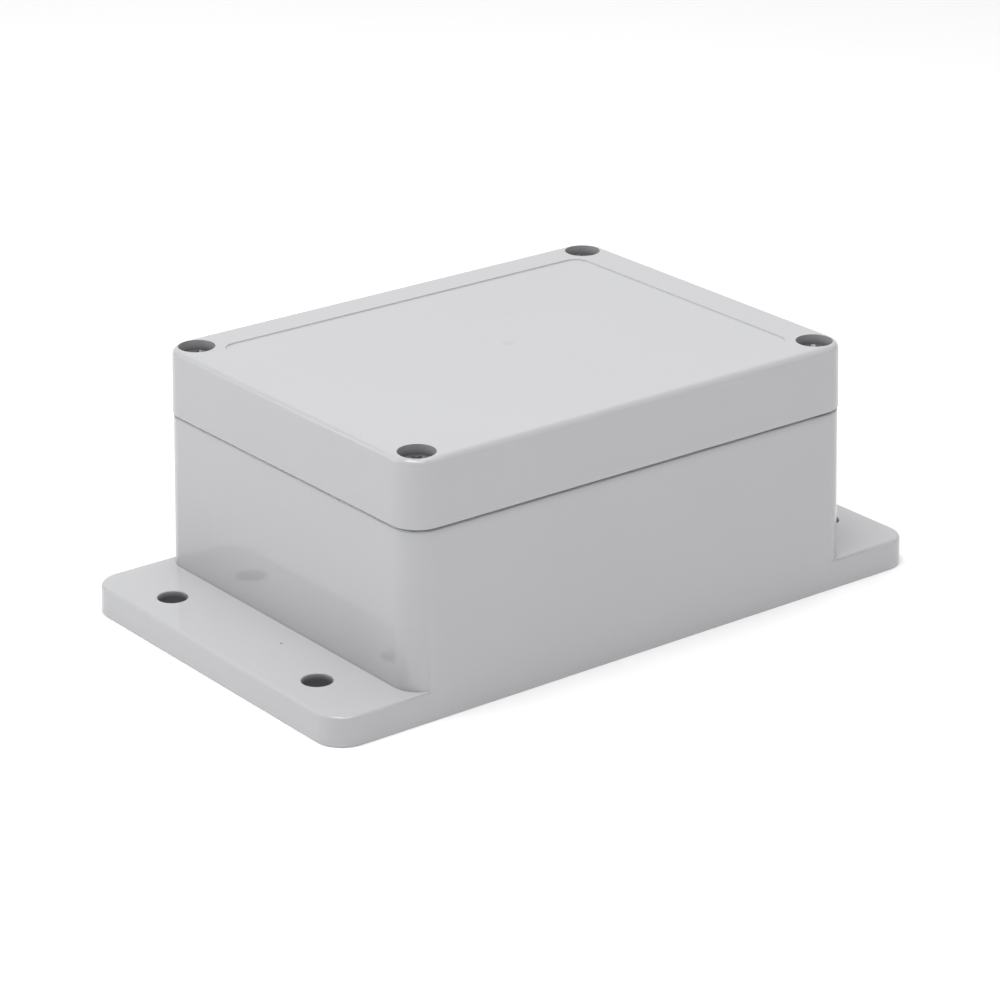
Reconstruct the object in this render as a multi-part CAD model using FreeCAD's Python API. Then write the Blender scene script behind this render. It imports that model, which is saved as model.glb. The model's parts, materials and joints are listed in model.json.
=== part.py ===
import FreeCAD, Part
import os
from math import cos, radians, sin, tan

# A moulded plastic project box: a deep base with a mounting flange at each end, and a lid
# held by four sunk screws. Millimetres. The box stands on z = 0 with its centre on the Z axis,
# its long side along X, and a flange at each end of X.

# Base, measured at its foot without the flanges
case_length = 116.2
case_width = 89.6
corner_radius = 6.2
base_draft = 1.0
rim_height = 40.2
floor_thickness = 2.5
wall = 3.0
cavity_draft = 0.5

# Mounting flanges, cored out from below
overall_length = 153.5
flange_thickness = 6.5
flange_corner_radius = 6.2
flange_edge_chamfer = 0.5
flange_skin = 2.6
flange_wall = 2.4
flange_hole_outset = 0.425
flange_hole_edge_y = 18.55
flange_hole_radius = 3.2
flange_bridge_width = 11.0
flange_rib_thickness = 1.8

# Square corner pillars with their threaded inserts
screw_inset_x = 5.65
screw_inset_y = 5.5
pillar_half_width = 6.0
pillar_chamfer = 3.5
insert_radius = 2.8
insert_length = 8.1
insert_fit = 0.02
insert_sink = 0.3
pillar_bore_floor = 10.0

# Sealing joint: a tongue on the base enters a groove in the lid and presses the gasket
seam_gap = 0.4
tongue_inset = 0.6
tongue_thickness = 1.2
tongue_height = 1.8
groove_clearance = 0.2
groove_depth = 3.2
groove_inner_lip = 1.2
gasket_side_gap = 0.05

# Lid
case_height = 55.0
lid_overhang = 0.2
lid_draft = 1.7
lid_edge_round = 1.5
lid_top = 2.5
panel_margin_x = 9.3
panel_margin_y = 8.5
panel_corner_radius = 3.5
panel_depth = 0.3
counterbore_radius = 3.9
screw_hole_radius = 2.25

# Circuit board bosses on the base's floor
boss_inset_x = 12.4
boss_inset_y = 19.1
boss_radius = 3.25
boss_height = 5.0
pilot_radius = 1.3
pilot_floor = 1.8

# Lid screws, pan head with a cross recess
head_radius = 3.5
head_height = 2.6
head_below_top = 1.5
screw_length = 16.0
thread_clearance = 0.05
thread_radius = 1.95
cross_reach = 2.2
cross_foot_reach = 1.1
cross_width = 0.95
cross_depth = 1.5

# Heights and sizes that follow from the values above
seam_height = rim_height + seam_gap
rim_shrink = rim_height * tan(radians(base_draft))
rim_length = case_length - 2 * rim_shrink
rim_width = case_width - 2 * rim_shrink
screw_spacing_x = rim_length - 2 * screw_inset_x
screw_spacing_y = rim_width - 2 * screw_inset_y
flange_hole_spacing_x = (case_length + overall_length) / 2 + 2 * flange_hole_outset
flange_hole_spacing_y = case_width - 2 * flange_hole_edge_y
panel_length = rim_length - 2 * panel_margin_x
panel_width = rim_width - 2 * panel_margin_y
boss_spacing_x = rim_length - 2 * boss_inset_x
boss_spacing_y = rim_width - 2 * boss_inset_y
tongue_top = rim_height + tongue_height
groove_roof = seam_height + groove_depth
lid_cavity_inset = groove_inner_lip + groove_clearance - tongue_inset
head_seat = case_height - head_below_top - head_height
insert_top = rim_height - insert_sink
insert_bore_radius = thread_radius + thread_clearance

# The four corners by name, with the signs of their x and y
CORNERS = {
    "front_left": (-1, -1),
    "rear_left": (-1, 1),
    "front_right": (1, -1),
    "rear_right": (1, 1),
}

# How closely an edge's height is matched when edges are picked for a round or a chamfer
MATCH = 1e-4


def vec(x, y, z=0.0):
    return FreeCAD.Vector(x, y, z)


def moved(shape, x, y, z=0.0):
    copy = shape.copy()
    copy.translate(vec(x, y, z))
    return copy


def at_corners(shape, spacing_x, spacing_y):
    """Copies of a shape at the four corners of a rectangle about the Z axis."""
    half_x = spacing_x / 2
    half_y = spacing_y / 2
    return [moved(shape, side * half_x, depth * half_y) for side, depth in CORNERS.values()]


def cylinder(radius, z_low, z_high):
    return Part.makeCylinder(radius, z_high - z_low, vec(0, 0, z_low))


def rounded_rectangle(length, width, radius, z=0.0):
    """Wire of a rectangle with round corners, centred on the Z axis."""
    half_x = length / 2
    half_y = width / 2
    centre_x = half_x - radius
    centre_y = half_y - radius
    axis = vec(0, 0, 1)
    edges = []
    quarters = [(1, 1, 0), (-1, 1, 90), (-1, -1, 180), (1, -1, 270)]
    for number, (side_x, side_y, start) in enumerate(quarters):
        centre = vec(side_x * centre_x, side_y * centre_y, z)
        arc = Part.makeCircle(radius, centre, axis, start, start + 90)
        next_x, next_y, next_start = quarters[(number + 1) % 4]
        turn = radians(next_start)
        next_centre = vec(next_x * centre_x, next_y * centre_y, z)
        next_point = next_centre + vec(radius * cos(turn), radius * sin(turn))
        edges.append(arc)
        edges.append(Part.makeLine(arc.lastVertex().Point, next_point))
    return Part.Wire(edges)


def tapered_block(length, width, radius, z_full, z_far, draft):
    """Solid with round upright corners, full size at z_full, that narrows by the draft towards z_far."""
    shrink = abs(z_far - z_full) * tan(radians(draft))
    full = rounded_rectangle(length, width, radius, z_full)
    far = rounded_rectangle(length - 2 * shrink, width - 2 * shrink, radius - shrink, z_far)
    return Part.makeLoft([full, far], True, True)


def wedge(length, width, z_full, z_far, draft):
    """Block with four flat sides, full size at z_full, that lean inwards towards z_far."""
    height = abs(z_far - z_full)
    half_x = length / 2
    half_y = width / 2
    far_x = half_x - height * tan(radians(draft))
    far_y = half_y - height * tan(radians(draft))
    block = Part.makeWedge(-half_x, 0, -half_y, -far_y, -far_x, half_x, height, half_y, far_y, far_x)
    upright = 90 if z_far > z_full else -90
    block.rotate(vec(0, 0, 0), vec(1, 0, 0), upright)
    return moved(block, 0, 0, z_full)


def rounded_wedge(length, width, radius, z_low, z_high, draft):
    """Wedge whose four slanted edges are rounded with one radius from foot to top."""
    block = wedge(length, width, z_low, z_high, draft)
    height = z_high - z_low
    slanted = [edge for edge in block.Edges if abs(edge.BoundBox.ZLength - height) < MATCH]
    return block.makeFillet(radius, slanted)


def edges_at_height(shape, z):
    """Edges of a shape that lie wholly in the level plane at height z."""
    return [
        edge for edge in shape.Edges
        if abs(edge.BoundBox.ZMin - z) < MATCH and abs(edge.BoundBox.ZMax - z) < MATCH
    ]


def pillar_section():
    """Square with chamfered corners, of which only the corner that faces the cavity shows."""
    outer = pillar_half_width
    inner = pillar_half_width - pillar_chamfer
    corners = [
        (outer, inner),
        (inner, outer),
        (-inner, outer),
        (-outer, inner),
        (-outer, -inner),
        (-inner, -outer),
        (inner, -outer),
        (outer, -inner),
    ]
    return Part.Face(Part.makePolygon([vec(x, y) for x, y in corners + corners[:1]]))


def cavity_outline(growth):
    """Face inside the base's rim, notched round the four corner pillars, grown outwards."""
    length = rim_length - 2 * wall
    width = rim_width - 2 * wall
    inner = moved(Part.makePlane(length, width), -length / 2, -width / 2)
    notched = inner.cut(at_corners(pillar_section(), screw_spacing_x, screw_spacing_y)).Faces[0]
    if growth == 0:
        return notched
    return notched.makeOffset2D(growth, join=2).Faces[0]


def straight_prism(face, z_low, z_high):
    return moved(face, 0, 0, z_low).extrude(vec(0, 0, z_high - z_low))


def hollow_between_pillars(inset, z_open, z_closed):
    """Inner hollow whose flat walls lean inwards towards its closed end, between upright pillars."""
    notched = straight_prism(cavity_outline(-inset), min(z_open, z_closed), max(z_open, z_closed))
    length = rim_length - 2 * (wall + inset)
    width = rim_width - 2 * (wall + inset)
    return notched.common(wedge(length, width, z_open, z_closed, cavity_draft))


def ring_round_cavity(inner_growth, outer_growth, z_low, z_high):
    """Upright ring that follows the rim round the pillars, between two outlines."""
    outer = straight_prism(cavity_outline(outer_growth), z_low, z_high)
    inner = straight_prism(cavity_outline(inner_growth), z_low, z_high)
    return outer.cut(inner)


def flange_pockets():
    """Cutters that core both flanges from below, leaving walls, ribs and a bridge round each hole."""
    inner_x = case_length / 2
    pocket_length = overall_length / 2 - flange_wall - inner_x
    depth = flange_thickness - flange_skin
    middle_edge = (flange_hole_spacing_y - flange_bridge_width) / 2
    end_inner = (flange_hole_spacing_y + flange_bridge_width) / 2
    end_outer = case_width / 2 - flange_corner_radius
    spans = [
        (-end_outer, -end_inner),
        (-middle_edge, -flange_rib_thickness / 2),
        (flange_rib_thickness / 2, middle_edge),
        (end_inner, end_outer),
    ]
    pockets = []
    for low_x in (-inner_x - pocket_length, inner_x):
        pockets += [
            moved(Part.makeBox(pocket_length, high - low, depth), low_x, low)
            for low, high in spans
        ]
    return pockets


def board_boss():
    """Round boss that a circuit board is screwed down to, its foot sunk into the floor."""
    return cylinder(boss_radius, floor_thickness / 2, floor_thickness + boss_height)


def base():
    """One moulding: box, flanges, corner pillars, tongue and circuit board bosses."""
    box = rounded_wedge(case_length, case_width, corner_radius, 0, rim_height, base_draft)
    plate = rounded_wedge(overall_length, case_width, flange_corner_radius, 0, flange_thickness, base_draft)
    plate = plate.makeChamfer(flange_edge_chamfer, edges_at_height(plate, flange_thickness))
    shell = box.fuse(plate).removeSplitter()

    shell = shell.cut(hollow_between_pillars(0, rim_height, floor_thickness))
    shell = shell.cut(flange_pockets())
    flange_hole = cylinder(flange_hole_radius, 0, flange_thickness)
    shell = shell.cut(at_corners(flange_hole, flange_hole_spacing_x, flange_hole_spacing_y))

    tongue = ring_round_cavity(tongue_inset, tongue_inset + tongue_thickness, rim_height, tongue_top)
    bosses = at_corners(board_boss(), boss_spacing_x, boss_spacing_y)
    shell = shell.fuse([tongue] + bosses)

    pillar_bore = cylinder(insert_radius + insert_fit, pillar_bore_floor, tongue_top)
    pilot = cylinder(pilot_radius, pilot_floor, floor_thickness + boss_height)
    shell = shell.cut(at_corners(pillar_bore, screw_spacing_x, screw_spacing_y))
    return shell.cut(at_corners(pilot, boss_spacing_x, boss_spacing_y)).removeSplitter()


def lid():
    """Hollow lid with a sunk panel, sunk screw seats and the groove for the gasket."""
    length = rim_length + 2 * lid_overhang
    width = rim_width + 2 * lid_overhang
    radius = corner_radius + lid_overhang
    cover = tapered_block(length, width, radius, seam_height, case_height, lid_draft)
    cover = cover.makeFillet(lid_edge_round, edges_at_height(cover, case_height))

    hollow = hollow_between_pillars(lid_cavity_inset, seam_height, case_height - lid_top)
    groove = ring_round_cavity(
        tongue_inset - groove_clearance,
        tongue_inset + tongue_thickness + groove_clearance,
        seam_height,
        groove_roof,
    )
    panel = Part.Face(rounded_rectangle(panel_length, panel_width, panel_corner_radius))
    panel_sink = straight_prism(panel, case_height - panel_depth, case_height)
    cover = cover.cut([hollow, groove, panel_sink])

    seat_bore = cylinder(counterbore_radius, head_seat, case_height)
    through = cylinder(screw_hole_radius, seam_height, case_height)
    screw_way = seat_bore.fuse(through)
    return cover.cut(at_corners(screw_way, screw_spacing_x, screw_spacing_y)).removeSplitter()


def gasket():
    """Rubber ring in the lid's groove, pressed by the tongue."""
    inner = tongue_inset - groove_clearance + gasket_side_gap
    outer = tongue_inset + tongue_thickness + groove_clearance - gasket_side_gap
    return ring_round_cavity(inner, outer, tongue_top, groove_roof)


def threaded_insert():
    """Brass bush, from z = 0 to its length."""
    return cylinder(insert_radius, 0, insert_length).cut(cylinder(insert_bore_radius, 0, insert_length))


def cross_recess():
    """Cutter with two crossed wings that narrow towards the bottom, its mouth at z = 0."""
    wing_outline = Part.makePolygon([
        vec(-cross_reach, 0, 0),
        vec(cross_reach, 0, 0),
        vec(cross_foot_reach, 0, -cross_depth),
        vec(-cross_foot_reach, 0, -cross_depth),
        vec(-cross_reach, 0, 0),
    ])
    wing = moved(Part.Face(wing_outline), 0, -cross_width / 2).extrude(vec(0, cross_width, 0))
    crossed = wing.copy()
    crossed.rotate(vec(0, 0, 0), vec(0, 0, 1), 90)
    return wing.fuse(crossed)


def lid_screw():
    """Pan-head screw, its head's underside at z = 0 and its tip below."""
    screw = cylinder(head_radius, 0, head_height).fuse(cylinder(thread_radius, -screw_length, 0))
    return screw.cut(moved(cross_recess(), 0, 0, head_height))


def build():
    """Every piece in its place, by the name of its node."""
    pieces = {"base": base(), "lid": lid(), "gasket": gasket()}
    screw = lid_screw()
    insert = threaded_insert()
    for corner, (side, depth) in CORNERS.items():
        x = side * screw_spacing_x / 2
        y = depth * screw_spacing_y / 2
        pieces["lid_screw_" + corner] = moved(screw, x, y, head_seat)
        pieces["threaded_insert_" + corner] = moved(insert, x, y, insert_top - insert_length)
    return pieces


def main():
    os.makedirs("parts", exist_ok=True)
    for name, shape in build().items():
        solids = shape.Solids
        if len(solids) != 1 or not shape.isValid():
            raise ValueError("%s is not one valid solid: %d" % (name, len(solids)))
        box = shape.BoundBox
        solids[0].exportStep("parts/" + name + ".step")
        print("%-32s %9.1f mm3  z %6.2f to %6.2f" % (name, shape.Volume, box.ZMin, box.ZMax))


main()
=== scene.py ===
"""Dresses a flanged plastic project box: two moulded shells, four screws, four inserts and a gasket."""

import json
from functools import wraps
from math import cos, hypot, pi, radians, sin, sqrt

import bmesh
import bpy
from bpy.props import FloatProperty, FloatVectorProperty, IntProperty, PointerProperty
from mathutils import Matrix, Vector


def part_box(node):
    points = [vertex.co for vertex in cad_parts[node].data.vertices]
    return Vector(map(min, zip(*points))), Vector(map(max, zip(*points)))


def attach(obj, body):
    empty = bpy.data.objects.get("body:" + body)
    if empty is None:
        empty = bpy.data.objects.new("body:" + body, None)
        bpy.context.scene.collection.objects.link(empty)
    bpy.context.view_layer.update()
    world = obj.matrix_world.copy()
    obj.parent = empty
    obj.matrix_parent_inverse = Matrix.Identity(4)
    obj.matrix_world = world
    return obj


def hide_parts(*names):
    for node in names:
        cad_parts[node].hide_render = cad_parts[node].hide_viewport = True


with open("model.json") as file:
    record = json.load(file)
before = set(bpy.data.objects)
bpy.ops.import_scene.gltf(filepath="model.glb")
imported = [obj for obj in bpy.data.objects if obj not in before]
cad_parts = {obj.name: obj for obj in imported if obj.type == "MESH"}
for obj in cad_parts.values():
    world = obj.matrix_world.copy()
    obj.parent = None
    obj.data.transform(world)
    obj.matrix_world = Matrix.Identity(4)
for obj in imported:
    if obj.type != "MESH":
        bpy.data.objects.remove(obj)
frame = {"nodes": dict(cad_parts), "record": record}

bl_info = {
    "name": "Plastic Project Box",
    "version": (1, 0, 0),
    "blender": (4, 5, 0),
    "location": "3D View > Sidebar > Project Box",
    "description": "Finishes the shells, screws, inserts and gasket of a flanged project box",
    "category": "Object",
}

MM = 0.001
# Too thin to see: tells one face from the next, and keeps the floor just clear of the box
SLIVER = 0.02 * MM
# Points nearer than this are one point
SAME_PLACE = 0.001 * MM
# Edges of the shells that fold more than this are rounded where their place says so
ROUNDED_FROM = radians(24)
# Faces that meet at more than this are shaded with an edge between them
SHARP_FROM = radians(35)
CORNERS = ("front_left", "rear_left", "front_right", "rear_right")
# Degrees at which the screws stopped, in the order of the corners
SCREW_TURNS = (8, 31, 52, 77)


def node_axis(node):
    """The upright line through the middle of a round CAD node, as x and y."""
    low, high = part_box(node)
    return (low.x + high.x) / 2, (low.y + high.y) / 2


def mount_dims(name):
    """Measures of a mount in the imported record, in millimetres."""
    return next(mount["dims"] for mount in frame["record"]["mounts"] if mount["name"] == name)


# Where the frame has the lid, the gasket, a screw, an insert and the flange holes
LID_LOW, LID_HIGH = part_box("lid")
GASKET_LOW, GASKET_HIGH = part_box("gasket")
SCREW_LOW, SCREW_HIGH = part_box("lid_screw_rear_right")
SCREW_X, SCREW_Y = node_axis("lid_screw_rear_right")
INSERT_LOW, INSERT_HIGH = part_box("threaded_insert_rear_right")
HOLES = mount_dims("flange_holes")
HOLE_X = HOLES["spacing_x_mm"] / 2 * MM
HOLE_Y = HOLES["spacing_y_mm"] / 2 * MM
HOLE_RADIUS = HOLES["hole_r_mm"] * MM


class ShellSettings(bpy.types.PropertyGroup):
    colour: FloatVectorProperty(
        name="Plastic Colour", description="Light grey of both shells", subtype="COLOR",
        size=3, min=0, max=1, default=(0.536, 0.537, 0.551),
    )
    roughness: FloatProperty(
        name="Roughness", description="Gloss of the moulded skin", subtype="FACTOR",
        min=0, max=1, default=0.07,
    )
    corner_radius: FloatProperty(
        name="Corner Radius", description="Turn of the lid's outline at its four corners",
        unit="LENGTH", precision=5, default=6.4 * MM,
    )
    flange_height: FloatProperty(
        name="Flange Height", description="Height of the flanges' upper faces", unit="LENGTH",
        precision=5, default=6.5 * MM,
    )
    seam_gap: FloatProperty(
        name="Seam Gap", description="Gap between the base's rim and the lid", unit="LENGTH",
        precision=5, default=0.4 * MM,
    )
    rim_ledge: FloatProperty(
        name="Rim Ledge", description="Width of the base's rim outside its tongue", unit="LENGTH",
        precision=5, default=0.6 * MM,
    )
    panel_depth: FloatProperty(
        name="Panel Depth", description="Depth of the shallow recess in the lid", unit="LENGTH",
        precision=5, default=0.3 * MM,
    )
    seat_radius: FloatProperty(
        name="Seat Radius", description="Radius of the sunk seats of the lid screws",
        unit="LENGTH", precision=5, default=3.9 * MM,
    )
    outer_round: FloatProperty(
        name="Outer Edge Round", description="Radius of the edges on both sides of the seam",
        unit="LENGTH", precision=5, default=0.32 * MM,
    )
    flange_round: FloatProperty(
        name="Flange Round", description="Radius of the flanges' edges and of their holes' mouths",
        unit="LENGTH", precision=5, default=0.3 * MM,
    )
    panel_round: FloatProperty(
        name="Panel Round", description="Radius at both edges of the lid's recess",
        unit="LENGTH", precision=5, default=0.14 * MM,
    )
    inner_round: FloatProperty(
        name="Inner Edge Round", description="Radius of the other rounded edges", unit="LENGTH",
        precision=5, default=0.12 * MM,
    )
    gate_place: FloatVectorProperty(
        name="Gate Place", description="Where on the lid the plastic entered the mould",
        unit="LENGTH", size=2, precision=5, default=(0.9 * MM, 0.4 * MM),
    )
    gate_radius: FloatProperty(
        name="Gate Radius", description="Radius of the faint mark that this left", unit="LENGTH",
        precision=5, default=1.2 * MM,
    )
    smudge_place: FloatVectorProperty(
        name="Smudge Place", description="Where on the lid a faint smudge lies", unit="LENGTH",
        size=2, precision=5, default=(12.3 * MM, 15.1 * MM),
    )
    smudge_radius: FloatProperty(
        name="Smudge Radius", description="Radius of that smudge", unit="LENGTH", precision=5,
        default=0.9 * MM,
    )
    speck_place: FloatVectorProperty(
        name="Speck Place", description="Where on the flange a dark speck lies", unit="LENGTH",
        size=2, precision=5, default=(-63.5 * MM, -7.4 * MM),
    )
    speck_radius: FloatProperty(
        name="Speck Radius", description="Radius of that speck", unit="LENGTH", precision=5,
        default=0.32 * MM,
    )
    # Painted shade: how much the walls of the screw seats are darkened, more deeply down
    seat_shade: FloatProperty(
        name="Seat Shade", description="How much grime darkens the screw seats",
        subtype="FACTOR", min=0, max=1, default=0.72,
    )
    # Painted shade: how much the walls of the flange holes are darkened, more deeply down
    hole_shade: FloatProperty(
        name="Hole Shade", description="How much grime darkens the flange holes",
        subtype="FACTOR", min=0, max=1, default=0.75,
    )
    # Painted shadow: how much the long faces are darkened below the lid's overhang at the seam
    seam_shade: FloatProperty(
        name="Seam Shade", description="How much grime darkens the long faces below the seam",
        subtype="FACTOR", min=0, max=1, default=0.15,
    )
    # Painted shade: how much the wall's foot is darkened where a flange meets the box
    crease_shade: FloatProperty(
        name="Crease Shade", description="How much grime darkens the line where a flange meets the box",
        subtype="FACTOR", min=0, max=1, default=0.15,
    )


class ScrewSettings(bpy.types.PropertyGroup):
    colour: FloatVectorProperty(
        name="Steel Colour", description="Dark steel of the screws", subtype="COLOR",
        size=3, min=0, max=1, default=(0.22, 0.22, 0.23),
    )
    head_height: FloatProperty(
        name="Head Height", description="From the seat to the top of the head",
        unit="LENGTH", precision=5, default=2.6 * MM,
    )
    head_round: FloatProperty(
        name="Head Round", description="Radius of the head's upper edge", unit="LENGTH",
        precision=5, default=0.8 * MM,
    )
    head_crown: FloatProperty(
        name="Head Crown", description="Rise of the head's top from its edge to its middle",
        unit="LENGTH", precision=5, default=0.15 * MM,
    )
    thread_radius: FloatProperty(
        name="Thread Radius", description="From the axis to the crest of the thread",
        unit="LENGTH", precision=5, default=1.95 * MM,
    )
    thread_depth: FloatProperty(
        name="Thread Depth", description="From the crest to the root of the thread",
        unit="LENGTH", precision=5, default=0.40 * MM,
    )
    pitch: FloatProperty(
        name="Thread Pitch", description="Rise of the thread in one turn", unit="LENGTH",
        precision=5, default=0.7 * MM,
    )
    recess_reach: FloatProperty(
        name="Recess Reach", description="From the head's middle to the end of a wing at the top",
        unit="LENGTH", precision=5, default=2.15 * MM,
    )
    recess_width: FloatProperty(
        name="Recess Width", description="Width of a wing at the top", unit="LENGTH",
        precision=5, default=0.95 * MM,
    )
    recess_depth: FloatProperty(
        name="Recess Depth", description="Depth of the wings", unit="LENGTH", precision=5,
        default=1.5 * MM,
    )


class InsertSettings(bpy.types.PropertyGroup):
    colour: FloatVectorProperty(
        name="Brass Colour", description="Turned brass", subtype="COLOR",
        size=3, min=0, max=1, default=(0.78, 0.60, 0.28),
    )
    bore_radius: FloatProperty(
        name="Bore Radius", description="Radius of the threaded bore", unit="LENGTH",
        precision=5, default=2.0 * MM,
    )
    teeth: IntProperty(name="Knurl Teeth", description="Teeth round each band", min=8, default=30)
    tooth_depth: FloatProperty(
        name="Tooth Depth", description="How far the teeth stand out of the bush",
        unit="LENGTH", precision=5, default=0.15 * MM,
    )
    tilt: FloatProperty(
        name="Knurl Tilt", description="Lean of the teeth, opposite on the two bands",
        subtype="ANGLE", default=radians(25),
    )
    groove_width: FloatProperty(
        name="Groove Width", description="Gap between the two knurled bands", unit="LENGTH",
        precision=5, default=1.4 * MM,
    )
    groove_depth: FloatProperty(
        name="Groove Depth", description="Depth of that gap below the teeth", unit="LENGTH",
        precision=5, default=0.35 * MM,
    )
    edge_slope: FloatProperty(
        name="Edge Slope", description="Width of the sloped edges of the bush", unit="LENGTH",
        precision=5, default=0.3 * MM,
    )


class GasketSettings(bpy.types.PropertyGroup):
    colour: FloatVectorProperty(
        name="Rubber Colour", description="Black foam rubber", subtype="COLOR",
        size=3, min=0, max=1, default=(0.03, 0.03, 0.03),
    )
    section_width: FloatProperty(
        name="Section Width", description="Width of the cord across its groove", unit="LENGTH",
        precision=5, default=1.5 * MM,
    )
    section_round: FloatProperty(
        name="Section Round", description="Radius of the cord's own edges", unit="LENGTH",
        precision=5, default=0.35 * MM,
    )
    pillar_half_width: FloatProperty(
        name="Pillar Half Width", description="From a screw's axis to the middle of the cord beside it",
        unit="LENGTH", precision=5, default=4.8 * MM,
    )
    pillar_reach: FloatProperty(
        name="Pillar Reach", description="From a screw's axis to the cord's slanted stretch",
        unit="LENGTH", precision=5, default=4.81 * MM,
    )


class StageSettings(bpy.types.PropertyGroup):
    camera_place: FloatVectorProperty(
        name="Camera Place", description="Where the camera stands", subtype="TRANSLATION",
        unit="LENGTH", size=3, precision=5, default=(-0.437879, -0.565482, 0.308445),
    )
    azimuth: FloatProperty(
        name="Azimuth", description="Turn of the view about the upright axis", subtype="ANGLE",
        default=radians(-37.645),
    )
    elevation: FloatProperty(
        name="Elevation", description="How far the camera looks down", subtype="ANGLE",
        default=radians(21.988),
    )
    roll: FloatProperty(
        name="Roll", description="Turn of the camera about its own line of sight",
        subtype="ANGLE", default=radians(-0.207),
    )
    lens: FloatProperty(
        name="Lens", description="Focal length on a 36 mm sensor, in millimetres",
        precision=2, default=130.516,
    )
    floor_colour: FloatVectorProperty(
        name="Floor Colour", description="Plain white floor", subtype="COLOR",
        size=3, min=0, max=1, default=(0.95, 0.95, 0.95),
    )
    floor_glow: FloatProperty(
        name="Floor Glow", description="Light that the floor near the box gives by itself",
        min=0, default=0.122,
    )
    far_glow: FloatProperty(
        name="Far Glow", description="The same light far from the box, where no softbox reaches",
        min=0, default=1.0,
    )
    sky: FloatProperty(name="Sky", description="Light from all round", min=0, default=0.15)
    backdrop: FloatProperty(
        name="Backdrop", description="Light from behind the box, which its glossy top mirrors",
        min=0, default=0.81,
    )
    backdrop_direction: FloatVectorProperty(
        name="Backdrop Direction", description="From the box to the middle of that light",
        subtype="DIRECTION", size=3, precision=3, default=(0.566, 0.734, 0.374),
    )
    overhead_left_power: FloatProperty(
        name="Overhead Left Light", description="Power of the softbox above, on the left",
        unit="POWER", min=0, default=7.8,
    )
    overhead_front_power: FloatProperty(
        name="Overhead Front Light", description="Power of the softbox above, in front",
        unit="POWER", min=0, default=4.9,
    )
    overhead_right_power: FloatProperty(
        name="Overhead Right Light", description="Power of the softbox above, on the right",
        unit="POWER", min=0, default=2.5,
    )
    rear_left_power: FloatProperty(
        name="Rear Left Light", description="Power of the softbox behind, on the left",
        unit="POWER", min=0, default=3.9,
    )
    front_right_power: FloatProperty(
        name="Front Right Light", description="Power of the softbox in front, on the right",
        unit="POWER", min=0, default=0.8,
    )


class ProjectBoxSettings(bpy.types.PropertyGroup):
    shell: PointerProperty(type=ShellSettings)
    screw: PointerProperty(type=ScrewSettings)
    insert: PointerProperty(type=InsertSettings)
    gasket: PointerProperty(type=GasketSettings)
    stage: PointerProperty(type=StageSettings)


def settings():
    return bpy.context.scene.project_box


class Value:
    """A node's output in an expression: each operation on numbers adds its Math node."""

    def __init__(self, tree, socket):
        self.tree = tree
        self.socket = socket

    def math(self, operation, *values):
        return self.tree.node("ShaderNodeMath", {"operation": operation}, dict(enumerate(values)))

    def __add__(self, other):
        return self.math("ADD", self, other)

    __radd__ = __add__

    def __sub__(self, other):
        return self.math("SUBTRACT", self, other)

    def __rsub__(self, other):
        return self.math("SUBTRACT", other, self)

    def __mul__(self, other):
        return self.math("MULTIPLY", self, other)

    __rmul__ = __mul__

    def __truediv__(self, other):
        return self.math("DIVIDE", self, other)

    def __abs__(self):
        return self.math("ABSOLUTE", self)

    def at_least(self, other):
        return self.math("MAXIMUM", self, other)

    def sine(self):
        return self.math("SINE", self)


class Tree:
    """Adds nodes to a node tree, one method for every kind."""

    def __init__(self, tree):
        self.tree = tree

    def node(self, kind, choices=None, inputs=None, output=0):
        made = self.tree.nodes.new(kind)
        for name, choice in (choices or {}).items():
            setattr(made, name, choice)
        for key, value in (inputs or {}).items():
            if isinstance(value, Value):
                self.tree.links.new(value.socket, made.inputs[key])
            else:
                made.inputs[key].default_value = value
        return Value(self, made.outputs[output]) if len(made.outputs) else None

    def split(self, vector):
        """The x, y and z of a vector."""
        first = self.node("ShaderNodeSeparateXYZ", {}, {"Vector": vector})
        return [Value(self, socket) for socket in first.socket.node.outputs]

    def length(self, x, y):
        """The length of the level vector with these parts."""
        vector = self.node("ShaderNodeCombineXYZ", {}, {"X": x, "Y": y})
        return self.node("ShaderNodeVectorMath", {"operation": "LENGTH"}, {0: vector}, output="Value")

    def fade(self, value, full, none):
        """Falls smoothly from 1 to 0 while a value rises from full to none."""
        return self.node(
            "ShaderNodeMapRange", {"interpolation_type": "SMOOTHSTEP"},
            {"Value": value, "From Min": full, "From Max": none, "To Min": 1.0, "To Max": 0.0},
        )


class Finish(Tree):
    """A procedural material for one of the box's substances."""

    def __init__(self, name):
        self.material = bpy.data.materials.new(name)
        self.material.use_nodes = True
        super().__init__(self.material.node_tree)
        self.tree.nodes.clear()
        self.place = self.node("ShaderNodeTexCoord", output="Object")

    def noise(self, size, detail=2.0):
        """Noise from 0 to 1 whose lumps are about this size in metres."""
        return self.node(
            "ShaderNodeTexNoise", {"noise_dimensions": "3D"},
            {"Vector": self.place, "Scale": 1 / size, "Detail": detail},
        )

    def spot(self, centre, radius, soft):
        """1 inside a small ball round a point, fading to 0 over its soft rim."""
        away = self.node(
            "ShaderNodeVectorMath", {"operation": "DISTANCE"}, {0: self.place, 1: centre}, output="Value"
        )
        return self.fade(away, radius - soft, radius + soft)

    def mix(self, factor, first, second):
        return self.node(
            "ShaderNodeMix", {"data_type": "RGBA"}, {0: factor, 6: first, 7: second}, output=2
        )

    def tones(self, mask, colour, darkest, lightest):
        """A colour times darkest where the mask is 0, and times lightest where it is 1."""
        return self.mix(mask, opaque(colour, darkest), opaque(colour, lightest))

    def bump(self, height, distance):
        return self.node("ShaderNodeBump", {}, {"Height": height, "Distance": distance})

    def surface(self, inputs):
        shader = self.node("ShaderNodeBsdfPrincipled", {}, inputs)
        self.node("ShaderNodeOutputMaterial", {}, {"Surface": shader})
        return self.material


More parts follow.
